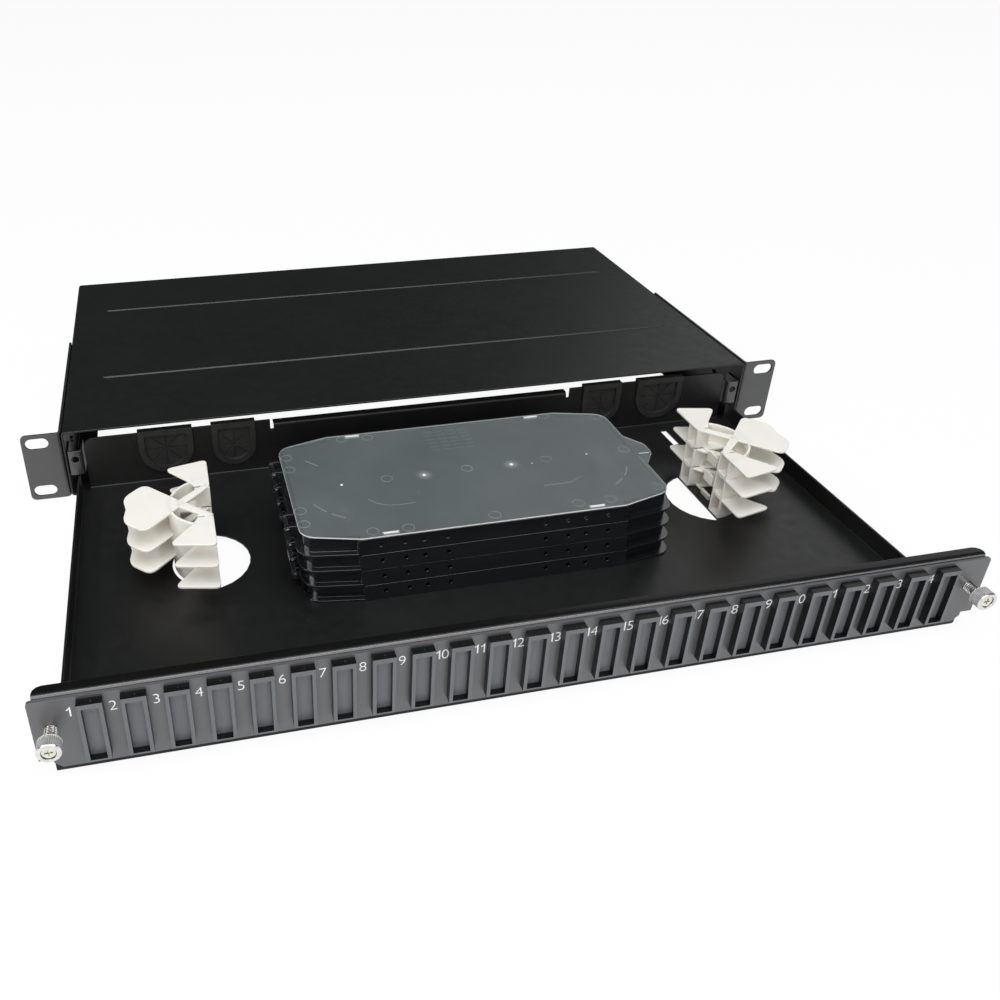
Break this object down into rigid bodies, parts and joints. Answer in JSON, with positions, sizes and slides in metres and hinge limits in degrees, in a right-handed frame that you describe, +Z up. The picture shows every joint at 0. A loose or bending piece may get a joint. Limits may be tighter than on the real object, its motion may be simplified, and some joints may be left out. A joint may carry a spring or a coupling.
{
  "type": "fibre patch panel",
  "caption": "Flat rack-mount fibre patch panel: a folded steel housing with ears, a sliding drawer with blanked ports, stacked hinged splice cassettes and bend guides.",
  "frame": {"origin": "middle of the rack slot pattern, on the rear face of the ears", "axes": "+X to the right seen from the front, +Y to the back of the rack, +Z up"},
  "size_m": [0.4826, 0.4655, 0.0459],
  "materials": {
    "black_steel": "satin black powder coat",
    "dark_fastener": "blackened steel",
    "bright_fastener": "bright nickel",
    "black_plastic": "fine matt moulding",
    "tray_plastic": "satin moulding",
    "lid_plastic": "frosted clear",
    "black_rubber": "matt rubber",
    "white_plastic": "satin moulding"
  },
  "bodies": {
    "housing": {"housing_cover": "black_steel", "latch_bracket_left": "black_steel", "latch_bracket_right": "black_steel", "rack_ear_left": "black_steel", "rack_ear_right": "black_steel", "ear_screws": "dark_fastener"},
    "drawer": {"drawer_tray": "black_steel", "front_frame": "black_steel", "front_plate": "black_steel", "blank_plug_01": "black_plastic", "blank_plug_02": "black_plastic", "blank_plug_03": "black_plastic", "blank_plug_04": "black_plastic", "blank_plug_05": "black_plastic", "blank_plug_06": "black_plastic", "blank_plug_07": "black_plastic", "blank_plug_08": "black_plastic", "blank_plug_09": "black_plastic", "blank_plug_10": "black_plastic", "blank_plug_11": "black_plastic", "blank_plug_12": "black_plastic", "blank_plug_13": "black_plastic", "blank_plug_14": "black_plastic", "blank_plug_15": "black_plastic", "blank_plug_16": "black_plastic", "blank_plug_17": "black_plastic", "blank_plug_18": "black_plastic", "blank_plug_19": "black_plastic", "blank_plug_20": "black_plastic", "blank_plug_21": "black_plastic", "blank_plug_22": "black_plastic", "blank_plug_23": "black_plastic", "blank_plug_24": "black_plastic", "cable_grommet_1": "black_rubber", "cable_grommet_2": "black_rubber", "cable_grommet_3": "black_rubber", "cable_grommet_4": "black_rubber", "bend_guide_left_1": "white_plastic", "bend_guide_left_2": "white_plastic", "bend_guide_left_3": "white_plastic", "bend_guide_right_1": "white_plastic", "bend_guide_right_2": "white_plastic", "bend_guide_right_3": "white_plastic", "splice_tray_1": "tray_plastic", "tray_screws": "bright_fastener"},
    "cassette_2": {"splice_tray_2": "tray_plastic"},
    "cassette_3": {"splice_tray_3": "tray_plastic"},
    "cassette_4": {"splice_tray_4": "tray_plastic", "cassette_lid": "lid_plastic"},
    "washer_left": {"screw_washer_left": "bright_fastener"},
    "washer_right": {"screw_washer_right": "bright_fastener"},
    "screw_left": {"thumbscrew_left": "bright_fastener"},
    "screw_right": {"thumbscrew_right": "bright_fastener"}
  },
  "joints": [
    {"name": "drawer_slide", "type": "slide", "parent": "housing", "child": "drawer", "axis": [0, 1, 0], "range_m": [0, 0.2024]},
    {"name": "cassette_2_hinge", "type": "hinge", "parent": "drawer", "child": "cassette_2", "pos_m": [-0.1, -0.0863, -0.012], "axis": [0, 1, 0], "range_deg": [-35, 0]},
    {"name": "cassette_3_hinge", "type": "hinge", "parent": "cassette_2", "child": "cassette_3", "pos_m": [-0.101, -0.0863, -0.0024], "axis": [0, 1, 0], "range_deg": [-35, 0]},
    {"name": "cassette_4_hinge", "type": "hinge", "parent": "cassette_3", "child": "cassette_4", "pos_m": [-0.102, -0.0863, 0.0072], "axis": [0, 1, 0], "range_deg": [-35, 0]},
    {"name": "screw_left_slide", "type": "slide", "parent": "drawer", "child": "washer_left", "axis": [0, 1, 0], "range_m": [0, 0.00622]},
    {"name": "screw_left_turn", "type": "hinge", "parent": "washer_left", "child": "screw_left", "pos_m": [-0.2128, -0.22, 0.0029], "axis": [0, 1, 0], "continuous": true},
    {"name": "screw_right_slide", "type": "slide", "parent": "drawer", "child": "washer_right", "axis": [0, 1, 0], "range_m": [0, 0.00622]},
    {"name": "screw_right_turn", "type": "hinge", "parent": "washer_right", "child": "screw_right", "pos_m": [0.2128, -0.22, 0.0029], "axis": [0, 1, 0], "continuous": true}
  ]
}
